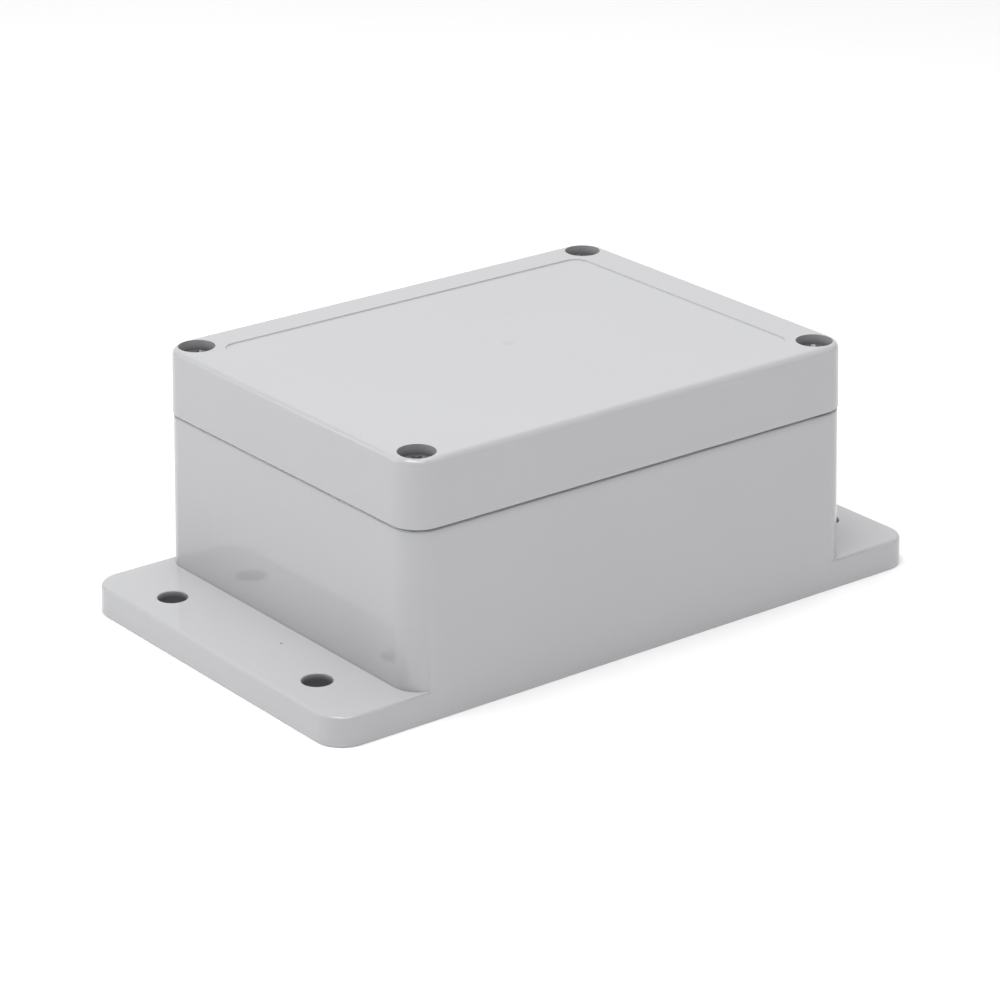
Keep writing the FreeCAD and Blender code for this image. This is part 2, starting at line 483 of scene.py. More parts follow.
def made_once(make):
    """Lets a finish be asked for again without making it twice."""
    @wraps(make)
    def give():
        return bpy.data.materials.get(make.__name__) or make()
    return give


def opaque(colour, factor=1.0):
    return (colour[0] * factor, colour[1] * factor, colour[2] * factor, 1.0)


def well_masks(finish, x, y, z, centre, radius, mouth, reach):
    """Two masks for the upright wells round (+-x, +-y) of a centre: their walls, and the painted shade in
    them.

    The painted shade grows from none at the mouth to 1 at this reach below it.
    """
    skin = 0.03 * MM
    past_skin = 0.1 * MM
    mouth_edge = 0.3 * MM
    from_axis = finish.length(abs(x) - centre[0], abs(y) - centre[1])
    inside = finish.fade(from_axis, radius + skin, radius + past_skin)
    wall = inside * finish.fade(z, mouth - mouth_edge, mouth - SLIVER)
    return wall, inside * finish.fade(z, mouth - reach, mouth)


def seam_masks(finish, x, y, z):
    """Three masks: painted shadow under the seam, painted light in its gap, and painted shade where a
    flange meets the box.
    """
    shell = settings().shell
    skin_depth = 1.2 * MM
    painted_shadow_height = 1.6 * MM
    painted_shadow_at_ends = 0.05
    gap_light_depth = 2.5 * MM
    gap_light_end = 3.0 * MM
    gap_light_lost_on_sides = 0.6
    crease_foot = 0.1 * MM
    crease_height = 0.7 * MM

    corner = shell.corner_radius
    over_x = (abs(x) - (LID_HIGH.x - corner)).at_least(0.0)
    over_y = (abs(y) - (LID_HIGH.y - corner)).at_least(0.0)
    outline = finish.length(over_x, over_y)
    long_side = over_y / (over_x + over_y + SLIVER)
    skin = 1 - finish.fade(outline, corner - skin_depth, corner - shell.rim_ledge)

    # Painted shadow below the lid's overhang at the seam, strongest on the long faces
    rim = LID_LOW.z - shell.seam_gap
    below = (1 - finish.fade(z, rim - painted_shadow_height, rim)) * finish.fade(z, rim, LID_LOW.z)
    over_rim = 1 - finish.fade(z, rim - 3 * SLIVER, rim - SLIVER)
    in_gap = over_rim * finish.fade(z, LID_LOW.z + SLIVER, LID_LOW.z + 3 * SLIVER)
    seam = skin * below * (1 - in_gap) * (painted_shadow_at_ends + (1 - painted_shadow_at_ends) * long_side)
    # Painted light inside the seam's gap, weaker on the long faces
    outer = 1 - finish.fade(outline, corner - gap_light_end, corner - gap_light_depth)
    painted_gap_light = in_gap * outer * (1 - gap_light_lost_on_sides * long_side)

    # Painted shade along the crease where a flange meets the box, on the end faces
    flange = shell.flange_height
    foot = flange + crease_foot
    above = (1 - finish.fade(z, flange + SLIVER, foot)) * finish.fade(z, foot, foot + crease_height)
    crease = skin * above * (1 - long_side)
    return seam, painted_gap_light, crease


@made_once
def moulded_plastic():
    """Light grey glossy plastic, with the faint marks that moulding and handling leave, painted shade in
    its wells and along its flange creases, painted shadow under its seam, and painted light in the seam's
    gap.
    """
    shell = settings().shell
    finish = Finish("moulded_plastic")
    x, y, z = finish.split(finish.place)
    clouds = finish.noise(size=22 * MM, detail=3.0)
    colour = finish.tones(clouds, shell.colour, darkest=0.985, lightest=1.015)

    panel = LID_HIGH.z - shell.panel_depth
    gate = finish.spot((*shell.gate_place, panel), shell.gate_radius, soft=0.5 * MM)
    smudge = finish.spot((*shell.smudge_place, panel), shell.smudge_radius, soft=0.6 * MM)
    faint_mark = opaque(shell.colour, 0.93)
    colour = finish.mix(gate + smudge * 0.4, colour, faint_mark)
    speck = finish.spot((*shell.speck_place, shell.flange_height), shell.speck_radius, soft=0.12 * MM)
    dark_mark = opaque(shell.colour, 0.3)
    colour = finish.mix(speck * 0.75, colour, dark_mark)

    # Painted shade inside the screw seats and the flange holes
    seat_wall, seat_painted_shade = well_masks(
        finish, x, y, z, (SCREW_X, SCREW_Y), shell.seat_radius, mouth=LID_HIGH.z, reach=3.0 * MM
    )
    hole_wall, hole_painted_shade = well_masks(
        finish, x, y, z, (HOLE_X, HOLE_Y), HOLE_RADIUS, mouth=shell.flange_height, reach=1.5 * MM
    )
    seam, painted_gap_light, crease = seam_masks(finish, x, y, z)
    # Painted shade in the wells and along the crease, and painted shadow below the seam, darken the
    # colour towards near black
    painted_shade = seat_painted_shade * shell.seat_shade + hole_painted_shade * shell.hole_shade
    painted_shade = painted_shade + seam * shell.seam_shade + crease * shell.crease_shade
    painted_shade_colour = (0.02, 0.02, 0.02, 1.0)
    painted_light_colour = (0.9, 0.9, 0.9, 1.0)
    colour = finish.mix(painted_shade, colour, painted_shade_colour)
    # Painted light that lightens the seam's gap
    colour = finish.mix(painted_gap_light, colour, painted_light_colour)

    gloss_spread = 0.05
    duller_wells = 0.4
    roughness = finish.noise(size=9 * MM) * gloss_spread + (shell.roughness - gloss_spread / 2)
    roughness = roughness + (seat_wall + hole_wall) * duller_wells
    grain = finish.noise(size=0.35 * MM) * 0.04
    waves = finish.noise(size=9 * MM, detail=1.0)
    return finish.surface({
        "Base Color": colour,
        "Roughness": roughness,
        "IOR": 1.5,
        "Normal": finish.bump(grain + waves, distance=0.01 * MM),
    })


@made_once
def dark_steel():
    """Dark steel with a few dull patches and fine scratches."""
    steel = settings().screw.colour
    finish = Finish("dark_steel")
    patches = finish.noise(size=1.2 * MM, detail=3.0)
    scratches = finish.noise(size=0.12 * MM, detail=3.0)
    return finish.surface({
        "Base Color": finish.tones(patches, steel, darkest=0.8, lightest=1.2),
        "Metallic": 1.0,
        "Roughness": patches * 0.12 + scratches * 0.08 + 0.4,
        "Normal": finish.bump(scratches, distance=0.01 * MM),
    })


@made_once
def turned_brass():
    """Brass with slight tarnish in patches, and the fine ridges of a thread in its bore."""
    insert = settings().insert
    finish = Finish("turned_brass")
    x, y, z = finish.split(finish.place)
    patches = finish.noise(size=1.5 * MM, detail=3.0)
    grain = finish.noise(size=0.1 * MM) * 0.1
    skin = 0.05 * MM
    from_axis = finish.length(abs(x) - SCREW_X, abs(y) - SCREW_Y)
    in_bore = finish.fade(from_axis, insert.bore_radius + skin, insert.bore_radius + 2 * skin)
    ridges = (z * (2 * pi / settings().screw.pitch)).sine() * in_bore
    return finish.surface({
        "Base Color": finish.tones(patches, insert.colour, darkest=0.8, lightest=1.1),
        "Metallic": 1.0,
        "Roughness": patches * 0.2 + 0.2,
        "Normal": finish.bump(ridges + grain, distance=0.12 * MM),
    })


@made_once
def gasket_rubber():
    """Matt black rubber with a fine closed-cell skin."""
    rubber = settings().gasket.colour
    finish = Finish("gasket_rubber")
    cells = finish.noise(size=0.3 * MM, detail=3.0)
    return finish.surface({
        "Base Color": finish.tones(cells, rubber, darkest=0.7, lightest=1.5),
        "Roughness": cells * 0.2 + 0.6,
        "Normal": finish.bump(cells, distance=0.05 * MM),
    })


@made_once
def white_floor():
    """Even white that glows a little near the box, and more where the softboxes don't reach."""
    stage = settings().stage
    finish = Finish("white_floor")
    fibres = finish.noise(size=60 * MM)
    colour = finish.tones(fibres, stage.floor_colour, darkest=0.995, lightest=1.005)
    glow_begins = 0.55
    glow_full = 1.1
    x, y, _ = finish.split(finish.place)
    far = 1 - finish.fade(finish.length(x, y), glow_begins, glow_full)
    glow = finish.mix(far, colour, opaque(stage.floor_colour, stage.far_glow / stage.floor_glow))
    return finish.surface({
        "Base Color": colour,
        "Roughness": 0.9,
        "Specular IOR Level": 0.1,
        "Emission Color": glow,
        "Emission Strength": stage.floor_glow,
    })


def add_object(name, data):
    piece = bpy.data.objects.new(name, data)
    bpy.context.scene.collection.objects.link(piece)
    return piece


def bake_modifiers(piece):
    """Turns what the modifiers show into the piece's plain mesh."""
    bpy.context.view_layer.update()
    graph = bpy.context.evaluated_depsgraph_get()
    mesh = bpy.data.meshes.new_from_object(piece.evaluated_get(graph), depsgraph=graph)
    piece.modifiers.clear()
    piece.data = mesh


def hand_over(piece, body, slot, *nodes):
    """Gives a finished piece its body and hides the CAD nodes that it stands for; the slot is not used.
    """
    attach(piece, body)
    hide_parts(*nodes)


def merged_copy(node):
    """The CAD node's mesh with its loose triangles joined and its flat faces whole."""
    shape = bmesh.new()
    shape.from_mesh(frame["nodes"][node].data)
    bmesh.ops.remove_doubles(shape, verts=shape.verts, dist=SAME_PLACE)
    bmesh.ops.dissolve_limit(shape, angle_limit=radians(0.5), verts=shape.verts, edges=shape.edges)
    return shape


def shade_wells(mesh, centre, radius):
    """Turns the shading of the round walls about (+-x, +-y) of a centre exactly to their axes."""
    upright = 0.1
    skin = 0.05 * MM
    normals = [Vector(corner.vector) for corner in mesh.corner_normals]
    for face in mesh.polygons:
        if abs(face.normal.z) > upright:
            continue
        for corner in face.loop_indices:
            place = mesh.vertices[mesh.loops[corner].vertex_index].co
            from_axis = Vector((
                place.x - (centre[0] if place.x > 0 else -centre[0]),
                place.y - (centre[1] if place.y > 0 else -centre[1]),
                0,
            ))
            if 0 < from_axis.length < radius + skin:
                normals[corner] = -from_axis.normalized()
    mesh.normals_split_custom_set(normals)


def rounded_shell(name, node, round_at):
    """A copy of a moulded shell with its edges rounded.

    round_at gives the radius for the place of an edge's middle, or 0 where the edge stays sharp.
    """
    shape = merged_copy(node)
    widest = settings().shell.outer_round
    weight = shape.edges.layers.float.new("bevel_weight_edge")
    for edge in shape.edges:
        if len(edge.link_faces) == 2 and edge.calc_face_angle() > ROUNDED_FROM:
            first, second = edge.verts
            edge[weight] = round_at((first.co + second.co) / 2) / widest
    mesh = bpy.data.meshes.new(name)
    shape.to_mesh(mesh)
    shape.free()
    shell = add_object(name, mesh)
    rounding = shell.modifiers.new("rounding", "BEVEL")
    rounding.limit_method = "WEIGHT"
    rounding.width = widest
    rounding.segments = 3
    rounding.miter_outer = "MITER_ARC"
    rounding.use_clamp_overlap = False
    rounding.loop_slide = False
    bake_modifiers(shell)
    shell.data.shade_smooth()
    shell.data.set_sharp_from_angle(angle=SHARP_FROM)
    shading = shell.modifiers.new("shading", "WEIGHTED_NORMAL")
    shading.mode = "FACE_AREA"
    shading.keep_sharp = True
    bake_modifiers(shell)
    shell.data.materials.clear()
    shell.data.materials.append(moulded_plastic())
    return shell


def depth_in_case(place):
    """How far a place lies inside the lid's outline, seen from above; below 0 it lies outside."""
    corner = settings().shell.corner_radius
    over_x = abs(place.x) - (LID_HIGH.x - corner)
    over_y = abs(place.y) - (LID_HIGH.y - corner)
    return corner - hypot(max(over_x, 0), max(over_y, 0)) - min(max(over_x, over_y), 0)


def base_round(place):
    """Radius of the base's edge at this place, 0 where it stays sharp."""
    shell = settings().shell
    clear_of_case = 2 * MM
    clear_of_foot = 3 * MM
    flange_edge = 0.6 * MM
    boss_foot = 2.4 * MM
    boss_top = 7.6 * MM
    tongue_foot = LID_LOW.z + MM

    depth = depth_in_case(place)
    if depth < shell.rim_ledge and place.z > LID_LOW.z - shell.seam_gap - SLIVER:
        return shell.outer_round
    if depth < -clear_of_case and place.z > shell.flange_height - flange_edge:
        return shell.flange_round
    if depth < -clear_of_foot and place.z < SLIVER:
        return shell.flange_round
    tongue_or_boss = place.z > tongue_foot or boss_foot < place.z < boss_top
    return shell.inner_round if depth > 0 and tongue_or_boss else 0


def lid_round(place):
    """Radius of the lid's edge at this place, 0 where it stays sharp."""
    shell = settings().shell
    seat_mouth = shell.seat_radius + 0.1 * MM
    under_top = LID_HIGH.z - MM
    depth = depth_in_case(place)
    from_axis = hypot(abs(place.x) - SCREW_X, abs(place.y) - SCREW_Y)
    if from_axis < seat_mouth:
        return 0
    if place.z > LID_HIGH.z - shell.panel_depth - SLIVER and depth > shell.corner_radius:
        return shell.panel_round
    if place.z < LID_LOW.z + SLIVER and depth < SLIVER:
        return shell.outer_round
    return shell.inner_round if depth > SLIVER and place.z < under_top else 0


class PROJECTBOX_OT_base(bpy.types.Operator):
    """Rounds the base's edges and gives it its plastic"""
    bl_idname = "project_box.dress_base"
    bl_label = "Dress Base"

    def execute(self, context):
        base = rounded_shell("moulded_base", "base", base_round)
        shade_wells(base.data, (HOLE_X, HOLE_Y), HOLE_RADIUS)
        hand_over(base, "box", "moulded_shell", "base")
        return {"FINISHED"}


class PROJECTBOX_OT_lid(bpy.types.Operator):
    """Rounds the lid's edges and gives it its plastic"""
    bl_idname = "project_box.dress_lid"
    bl_label = "Dress Lid"

    def execute(self, context):
        lid = rounded_shell("moulded_lid", "lid", lid_round)
        shade_wells(lid.data, (SCREW_X, SCREW_Y), settings().shell.seat_radius)
        hand_over(lid, "cover", "moulded_shell", "lid")
        return {"FINISHED"}


def lathe(profile, steps):
    """Closed shape turned about the Z axis from (radius, height) points that run from foot to top."""
    shape = bmesh.new()
    rings = []
    turns = [2 * pi * step / steps for step in range(steps)]
    for radius, height in profile:
        around = turns if radius else [0]
        rings.append([
            shape.verts.new((radius * cos(turn), radius * sin(turn), height)) for turn in around
        ])
    for lower, upper in zip(rings, rings[1:]):
        for step in range(steps):
            following = (step + 1) % steps
            corners = [lower[step % len(lower)], lower[following % len(lower)]]
            corners += [upper[following % len(upper)], upper[step % len(upper)]]
            shape.faces.new(dict.fromkeys(corners))
    bmesh.ops.remove_doubles(shape, verts=shape.verts, dist=SAME_PLACE)
    return shape


def mesh_from(shape, name):
    """A mesh of this name from a closed shape, with its faces turned outwards."""
    mesh = bpy.data.meshes.new(name)
    bmesh.ops.recalc_face_normals(shape, faces=shape.faces)
    shape.to_mesh(mesh)
    shape.free()
    return mesh


def cross_recess():
    """Closed cutter of two crossed wings that narrow towards their foot, mouth at z = 0."""
    screw = settings().screw
    shape = bmesh.new()
    above = 0.8 * MM
    flare = 0.45
    spread = 1 + above / screw.recess_depth * flare
    foot_reach = screw.recess_reach * 0.5
    foot_half_width = screw.recess_width * 0.33
    levels = (
        (-screw.recess_depth, foot_reach, foot_half_width),
        (above, screw.recess_reach * spread, screw.recess_width * 0.5 * spread),
    )
    for turn in (Matrix.Identity(3), Matrix.Rotation(pi / 2, 3, "Z")):
        low, high = (
            [
                shape.verts.new(turn @ Vector((x, y, height)))
                for x, y in ((reach, half), (-reach, half), (-reach, -half), (reach, -half))
            ]
            for height, reach, half in levels
        )
        shape.faces.new(low[::-1])
        shape.faces.new(high)
        for first in range(4):
            second = (first + 1) % 4
            shape.faces.new((low[first], low[second], high[second], high[first]))
    return mesh_from(shape, "cross_recess")


class PieceNodes(Tree):
    """A geometry node tree with named inputs that ends in one realized, finished mesh."""

    KINDS = {
        "geometry": "NodeSocketGeometry", "length": "NodeSocketFloat", "angle": "NodeSocketFloat",
        "count": "NodeSocketInt", "material": "NodeSocketMaterial",
    }

    def __init__(self, name, inputs):
        group = bpy.data.node_groups.new(name, "GeometryNodeTree")
        super().__init__(group)
        group.interface.new_socket("Geometry", in_out="OUTPUT", socket_type="NodeSocketGeometry")
        self.keys = {}
        for label, kind in inputs.items():
            socket = group.interface.new_socket(label, in_out="INPUT", socket_type=self.KINDS[kind])
            self.keys[label] = socket.identifier
        self.entry = self.tree.nodes.new("NodeGroupInput")

    def given(self, label):
        return Value(self, self.entry.outputs[label])

    def finish(self, geometry):
        realized = self.node("GeometryNodeRealizeInstances", {}, {"Geometry": geometry})
        painted = self.node(
            "GeometryNodeSetMaterial", {}, {"Geometry": realized, "Material": self.given("Material")}
        )
        self.node("NodeGroupOutput", {}, {"Geometry": painted})

    def run_on(self, mesh, name, values):
        """The plain mesh that the tree makes from a start mesh with these input values."""
        piece = add_object(name, mesh)
        modifier = piece.modifiers.new(name, "NODES")
        modifier.node_group = self.tree
        for label, value in values.items():
            modifier[self.keys[label]] = value
        bake_modifiers(piece)
        made = piece.data
        bpy.data.objects.remove(piece)
        return made


def thread_nodes():
    """Helical ridge of a screw thread from z = 0 upwards, its section sunk a little into the root."""
    nodes = PieceNodes("screw_thread", {
        "Root Radius": "length", "Depth": "length", "Sunk": "length", "Pitch": "length",
        "Length": "length", "Material": "material",
    })
    pitch = nodes.given("Pitch")
    depth = nodes.given("Depth") + nodes.given("Sunk")
    root = nodes.given("Root Radius")
    root_width = pitch * 0.75
    crest_width = pitch * 0.125
    helix = nodes.node("GeometryNodeCurveSpiral", {}, {
        "Resolution": 32,
        "Rotations": nodes.given("Length") / pitch,
        "Start Radius": root,
        "End Radius": root,
        "Height": nodes.given("Length"),
        "Reverse": True,
    })
    upright = nodes.node("GeometryNodeSetCurveNormal", {"mode": "Z_UP"}, {"Curve": helix})
    section = nodes.node("GeometryNodeCurvePrimitiveQuadrilateral", {"mode": "TRAPEZOID"}, {
        "Height": depth, "Bottom Width": root_width, "Top Width": crest_width, "Offset": 0.0,
    })
    outwards = nodes.node("ShaderNodeCombineXYZ", {}, {"X": depth * 0.5 - nodes.given("Sunk")})
    standing = nodes.node("GeometryNodeTransform", {}, {
        "Geometry": section, "Rotation": (0, 0, -pi / 2), "Translation": outwards,
    })
    ridge = nodes.node(
        "GeometryNodeCurveToMesh", {}, {"Curve": upright, "Profile Curve": standing, "Fill Caps": True}
    )
    nodes.finish(ridge)
    return nodes


def knurl_nodes():
    """Ring of slanted teeth, each a bar whose edge stands out, at z = 0."""
    nodes = PieceNodes("insert_knurl", {
        "Teeth": "count", "Radius": "length", "Depth": "length", "Band": "length", "Tilt": "angle",
        "Material": "material",
    })
    ring = nodes.node(
        "GeometryNodeMeshCircle", {}, {"Vertices": nodes.given("Teeth"), "Radius": nodes.given("Radius")}
    )
    side = nodes.given("Depth") * sqrt(2)
    size = nodes.node("ShaderNodeCombineXYZ", {}, {"X": side, "Y": side, "Z": nodes.given("Band")})
    bar = nodes.node("GeometryNodeMeshCube", {}, {"Size": size})
    on_edge = nodes.node("GeometryNodeTransform", {}, {"Geometry": bar, "Rotation": (0, 0, pi / 4)})
    turn = nodes.node("GeometryNodeInputIndex") * (2 * pi) / nodes.given("Teeth")
    angles = nodes.node("ShaderNodeCombineXYZ", {}, {"X": nodes.given("Tilt"), "Z": turn})
    rotation = nodes.node("FunctionNodeEulerToRotation", {}, {"Euler": angles})
    teeth = nodes.node(
        "GeometryNodeInstanceOnPoints", {}, {"Points": ring, "Instance": on_edge, "Rotation": rotation}
    )
    nodes.finish(teeth)
    return nodes


def cord_nodes():
    """Cord of rounded section along a closed path, its corners turned on a small radius."""
    nodes = PieceNodes("gasket_cord", {
        "Geometry": "geometry", "Width": "length", "Height": "length", "Section Round": "length",
        "Corner Round": "length", "Material": "material",
    })
    path = nodes.node("GeometryNodeMeshToCurve", {}, {"Mesh": nodes.given("Geometry")})
    turned = nodes.node("GeometryNodeFilletCurve", {"mode": "POLY"}, {
        "Curve": path, "Radius": nodes.given("Corner Round"), "Count": 8,
    })
    level = nodes.node("GeometryNodeSetCurveNormal", {"mode": "Z_UP"}, {"Curve": turned})
    section = nodes.node(
        "GeometryNodeCurvePrimitiveQuadrilateral", {"mode": "RECTANGLE"},
        {"Width": nodes.given("Width"), "Height": nodes.given("Height")},
    )
    rounded = nodes.node("GeometryNodeFilletCurve", {"mode": "POLY"}, {
        "Curve": section, "Radius": nodes.given("Section Round"), "Count": 4,
    })
    cord = nodes.node("GeometryNodeCurveToMesh", {}, {"Curve": level, "Profile Curve": rounded})
    nodes.finish(cord)
    return nodes


def cut_out(piece, cutter_mesh, place):
    """Cuts a closed mesh out of a piece."""
    cutter = add_object("cutter", cutter_mesh)
    cutter.matrix_world = Matrix.Translation(place)
    cutting = piece.modifiers.new("cutting", "BOOLEAN")
    cutting.operation = "DIFFERENCE"
    cutting.solver = "EXACT"
    cutting.use_self = True
    cutting.object = cutter
    bake_modifiers(piece)
    bpy.data.objects.remove(cutter)


def joined(name, placed, material, sharp):
    """One mesh from (mesh, height) pairs, each raised to its height; sharp is the angle of its edges."""
    shape = bmesh.new()
    for mesh, height in placed:
        raised = mesh.copy()
        raised.transform(Matrix.Translation((0, 0, height)))
        shape.from_mesh(raised)
        bpy.data.meshes.remove(raised)
    whole = mesh_from(shape, name)
    whole.materials.clear()
    whole.materials.append(material)
    whole.shade_smooth()
    whole.set_sharp_from_angle(angle=sharp)
    return whole


def head_profile(radius):
    """Half outline of the screw's pan head from its seat at z = 0 to the top of its middle."""
    screw = settings().screw
    seat_slope = 0.1 * MM
    edge = screw.head_round
    shoulder = screw.head_height - screw.head_crown - edge
    steps = 6
    quarter = [pi / 2 * step / steps for step in range(steps + 1)]
    profile = [(radius - seat_slope, 0), (radius, seat_slope)]
    profile += [(radius - edge + edge * cos(turn), shoulder + edge * sin(turn)) for turn in quarter]
    half_way = (radius - edge) / 2
    profile += [(half_way, screw.head_height - screw.head_crown / 4), (0, screw.head_height)]
    return profile


def screw_mesh():
    """Pan-head screw with its recess and thread, the seat of its head at z = 0."""
    screw = settings().screw
    length = SCREW_HIGH.z - screw.head_height - SCREW_LOW.z
    crest = screw.thread_radius
    root = crest - screw.thread_depth
    point = 0.4 * MM
    point_radius = root * 0.7
    neck = 0.9 * MM
    shank = [
        (0, -length),
        (point_radius, -length),
        (root, -length + point),
        (root, -neck),
        (crest, -neck + screw.thread_depth),
        (crest, 0),
    ]
    outline = shank + head_profile((SCREW_HIGH.x - SCREW_LOW.x) / 2)
    body = add_object("screw_body", mesh_from(lathe(outline, steps=64), "screw_body"))
    cut_out(body, cross_recess(), (0, 0, screw.head_height))
    softening = body.modifiers.new("softening", "BEVEL")
    softening.width = 0.05 * MM
    softening.segments = 2
    softening.angle_limit = SHARP_FROM
    bake_modifiers(body)
    thread = thread_nodes().run_on(bpy.data.meshes.new("thread_start"), "screw_thread", {
        "Root Radius": root,
        "Depth": screw.thread_depth,
        "Sunk": 0.05 * MM,
        "Pitch": screw.pitch,
        "Length": length - 2 * screw.pitch - neck,
        "Material": dark_steel(),
    })
    foot = -length + point + screw.pitch / 2
    whole = joined("lid_screw", [(body.data, 0), (thread, foot)], dark_steel(), SHARP_FROM)
    bpy.data.objects.remove(body)
    return whole


class PROJECTBOX_OT_screws(bpy.types.Operator):
    """Makes the four lid screws, each stopped at its own turn"""
    bl_idname = "project_box.make_screws"
    bl_label = "Make Lid Screws"

    def execute(self, context):
        mesh = screw_mesh()
        seat = SCREW_HIGH.z - settings().screw.head_height
        for corner, turn in zip(CORNERS, SCREW_TURNS):
            x, y = node_axis("lid_screw_" + corner)
            own = mesh.copy()
            own.transform(Matrix.Translation((x, y, seat)) @ Matrix.Rotation(radians(turn), 4, "Z"))
            piece = add_object("steel_screw_" + corner, own)
            hand_over(piece, "screw_" + corner, "screw_steel", "lid_screw_" + corner)
        return {"FINISHED"}


def bush_profile(outer, height):
    """Closed half section of an insert without its teeth: out along the foot, up, and down the bore."""
    insert = settings().insert
    bore = insert.bore_radius
    slope = insert.edge_slope
    root = outer - insert.tooth_depth
    waist = root - insert.groove_depth
    low = (height - insert.groove_width) / 2
    high = (height + insert.groove_width) / 2
    return [
        (bore + slope, 0),
        (root - slope, 0),
        (root, slope),
        (root, low),
        (waist, low + slope / 2),
        (waist, high - slope / 2),
        (root, high),
        (root, height - slope / 2),
        (root - slope / 2, height),
        (bore + slope, height),
        (bore, height - slope),
        (bore, slope),
        (bore + slope, 0),
    ]


def insert_mesh():
    """Brass bush with two knurled bands and a groove between them, foot at z = 0."""
    insert = settings().insert
    outer = (INSERT_HIGH.x - INSERT_LOW.x) / 2
    height = INSERT_HIGH.z - INSERT_LOW.z
    band = (height - insert.groove_width) / 2 - 2 * insert.edge_slope
    low_band = insert.edge_slope * 1.3 + band / 2
    high_band = height - insert.edge_slope * 0.8 - band / 2
    tips_inside = 0.95
    tree = knurl_nodes()
    placed = [(mesh_from(lathe(bush_profile(outer, height), steps=56), "insert_body"), 0)]
    for tilt, middle in ((insert.tilt, low_band), (-insert.tilt, high_band)):
        teeth = tree.run_on(bpy.data.meshes.new("knurl_start"), "insert_knurl", {
            "Teeth": insert.teeth,
            "Radius": outer - insert.tooth_depth,
            "Depth": insert.tooth_depth * tips_inside,
            "Band": band,
            "Tilt": tilt,
            "Material": turned_brass(),
        })
        placed.append((teeth, middle))
    return joined("threaded_insert", placed, turned_brass(), sharp=radians(30))


class PROJECTBOX_OT_inserts(bpy.types.Operator):
    """Makes the four knurled brass inserts"""
    bl_idname = "project_box.make_inserts"
    bl_label = "Make Threaded Inserts"

    def execute(self, context):
        mesh = insert_mesh()
        for corner in CORNERS:
            x, y = node_axis("threaded_insert_" + corner)
            own = mesh.copy()
            own.transform(Matrix.Translation((x, y, INSERT_LOW.z)))
            piece = add_object("brass_insert_" + corner, own)
            hand_over(piece, "box", "insert_brass", "threaded_insert_" + corner)
        return {"FINISHED"}


def gasket_path():
    """Closed line of edges along the middle of the gasket's groove, round the four pillars."""
    gasket = settings().gasket
    wall_x = GASKET_HIGH.x - gasket.section_width / 2
    wall_y = GASKET_HIGH.y - gasket.section_width / 2
    beside_x = SCREW_X - gasket.pillar_half_width
    beside_y = SCREW_Y - gasket.pillar_half_width
    slant = SCREW_X + SCREW_Y - gasket.pillar_reach * sqrt(2)
    quarter = [
        (wall_x, beside_y),
        (slant - beside_y, beside_y),
        (beside_x, slant - beside_x),
        (beside_x, wall_y),
    ]
    points = quarter + [(-x, y) for x, y in quarter[::-1]]
    points += [(-x, -y) for x, y in quarter] + [(x, -y) for x, y in quarter[::-1]]
    shape = bmesh.new()
    middle = (GASKET_LOW.z + GASKET_HIGH.z) / 2
    line = [shape.verts.new((x, y, middle)) for x, y in points]
    for first, second in zip(line, line[1:] + line[:1]):
        shape.edges.new((first, second))
    return mesh_from(shape, "gasket_path")


class PROJECTBOX_OT_gasket(bpy.types.Operator):
    """Lays the rubber cord along the lid's groove"""
    bl_idname = "project_box.lay_gasket"
    bl_label = "Lay Gasket"

    def execute(self, context):
        gasket = settings().gasket
        cord = cord_nodes().run_on(gasket_path(), "gasket_cord", {
            "Width": gasket.section_width,
            "Height": GASKET_HIGH.z - GASKET_LOW.z,
            "Section Round": gasket.section_round,
            "Corner Round": gasket.section_width / 2,
            "Material": gasket_rubber(),
        })
        mesh = joined("rubber_gasket", [(cord, 0)], gasket_rubber(), sharp=radians(40))
        hand_over(add_object("rubber_gasket", mesh), "cover", "gasket_rubber", "gasket")
        return {"FINISHED"}


def turned_view(azimuth, elevation, roll):
    """Rotation of a camera whose back points to this azimuth and elevation."""
    back = Vector((sin(azimuth) * cos(elevation), -cos(azimuth) * cos(elevation), sin(elevation)))
    right = Vector((cos(azimuth), sin(azimuth), 0))
    up = back.cross(right)
    rolled_right = right * cos(roll) + up * sin(roll)
    rolled_up = up * cos(roll) - right * sin(roll)
    return Matrix((rolled_right, rolled_up, back)).transposed()


def add_softbox(name, place, size, power):
    """Square area light that faces the middle of the box."""
    box_middle = Vector((0, 0, 0.02))
    light = bpy.data.lights.new(name, "AREA")
    light.shape = "SQUARE"
    light.size = size
    light.energy = power
    softbox = add_object(name, light)
    aim = box_middle - Vector(place)
    softbox.matrix_world = Matrix.Translation(place) @ aim.to_track_quat("-Z", "Y").to_matrix().to_4x4()


def studio_sky():
    """World that is brightest behind the box, where its glossy top mirrors it."""
    stage = settings().stage
    sky = bpy.data.worlds.new("studio")
    sky.use_nodes = True
    sky.node_tree.nodes.clear()
    tree = Tree(sky.node_tree)
    direction = tree.node("ShaderNodeTexCoord", output="Generated")
    behind = stage.backdrop_direction
    towards = tree.node(
        "ShaderNodeVectorMath", {"operation": "DOT_PRODUCT"}, {0: direction, 1: behind}, output="Value"
    )
    cosine_at_edge = 0.5
    cosine_at_full = 0.92
    glow = 1 - tree.fade(towards, cosine_at_edge, cosine_at_full)
    strength = glow * (stage.backdrop - stage.sky) + stage.sky
    light = tree.node("ShaderNodeBackground", {}, {"Color": (1.0, 1.0, 1.0, 1.0), "Strength": strength})
    tree.node("ShaderNodeOutputWorld", {}, {"Surface": light})
    return sky


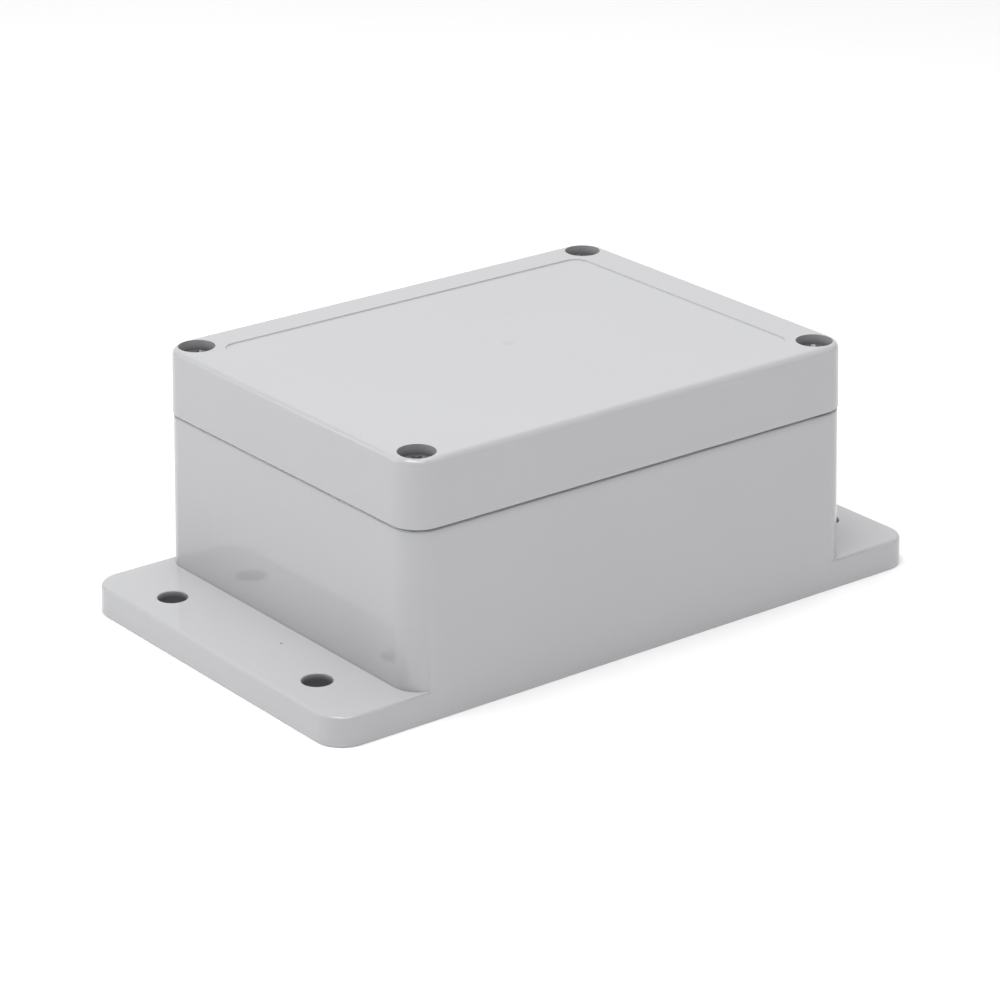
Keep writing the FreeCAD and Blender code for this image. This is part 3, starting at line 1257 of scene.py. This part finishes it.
def white_table():
    """Large flat floor just below the box."""
    half = 6.0
    shape = bmesh.new()
    corners = ((-half, -half), (half, -half), (half, half), (-half, half))
    shape.faces.new([shape.verts.new((x, y, -SLIVER)) for x, y in corners])
    mesh = bpy.data.meshes.new("floor")
    shape.to_mesh(mesh)
    shape.free()
    mesh.materials.append(white_floor())
    return add_object("floor", mesh)


class PROJECTBOX_OT_stage(bpy.types.Operator):
    """Sets the floor, the soft lights and the camera"""
    bl_idname = "project_box.set_stage"
    bl_label = "Set Stage"

    def execute(self, context):
        stage = settings().stage
        scene = context.scene
        white_table()
        scene.world = studio_sky()
        scene.view_settings.view_transform = "Standard"
        narrow = 0.6
        wide = 0.8
        add_softbox("overhead_left_softbox", (-0.4, 0.0, 1.25), narrow, stage.overhead_left_power)
        add_softbox("overhead_front_softbox", (-0.2, -0.45, 1.2), narrow, stage.overhead_front_power)
        add_softbox("overhead_right_softbox", (0.4, 0.0, 1.25), narrow, stage.overhead_right_power)
        add_softbox("rear_left_softbox", (-1.0, 0.9, 0.7), wide, stage.rear_left_power)
        add_softbox("front_right_softbox", (1.0, -0.9, 0.8), wide, stage.front_right_power)

        lens = bpy.data.cameras.new("camera")
        lens.lens = stage.lens
        lens.sensor_width = 36
        camera = add_object("camera", lens)
        turn = turned_view(stage.azimuth, stage.elevation, stage.roll)
        camera.matrix_world = Matrix.Translation(stage.camera_place) @ turn.to_4x4()
        scene.camera = camera
        return {"FINISHED"}


OPERATORS = (
    PROJECTBOX_OT_base, PROJECTBOX_OT_lid, PROJECTBOX_OT_screws, PROJECTBOX_OT_inserts,
    PROJECTBOX_OT_gasket, PROJECTBOX_OT_stage,
)


class PROJECTBOX_PT_panel(bpy.types.Panel):
    """Lists the steps that finish the box"""
    bl_label = "Project Box"
    bl_idname = "PROJECTBOX_PT_panel"
    bl_space_type = "VIEW_3D"
    bl_region_type = "UI"
    bl_category = "Project Box"

    def draw(self, context):
        for operator in OPERATORS:
            self.layout.operator(operator.bl_idname)


CLASSES = (
    ShellSettings, ScrewSettings, InsertSettings, GasketSettings, StageSettings, ProjectBoxSettings,
) + OPERATORS + (PROJECTBOX_PT_panel,)


def register():
    for each in CLASSES:
        bpy.utils.register_class(each)
    bpy.types.Scene.project_box = PointerProperty(type=ProjectBoxSettings)


def unregister():
    del bpy.types.Scene.project_box
    for each in reversed(CLASSES):
        bpy.utils.unregister_class(each)


def main():
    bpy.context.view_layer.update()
    register()
    bpy.ops.project_box.dress_base()
    bpy.ops.project_box.dress_lid()
    bpy.ops.project_box.make_screws()
    bpy.ops.project_box.make_inserts()
    bpy.ops.project_box.lay_gasket()
    bpy.ops.project_box.set_stage()


if __name__ == "__main__":
    main()
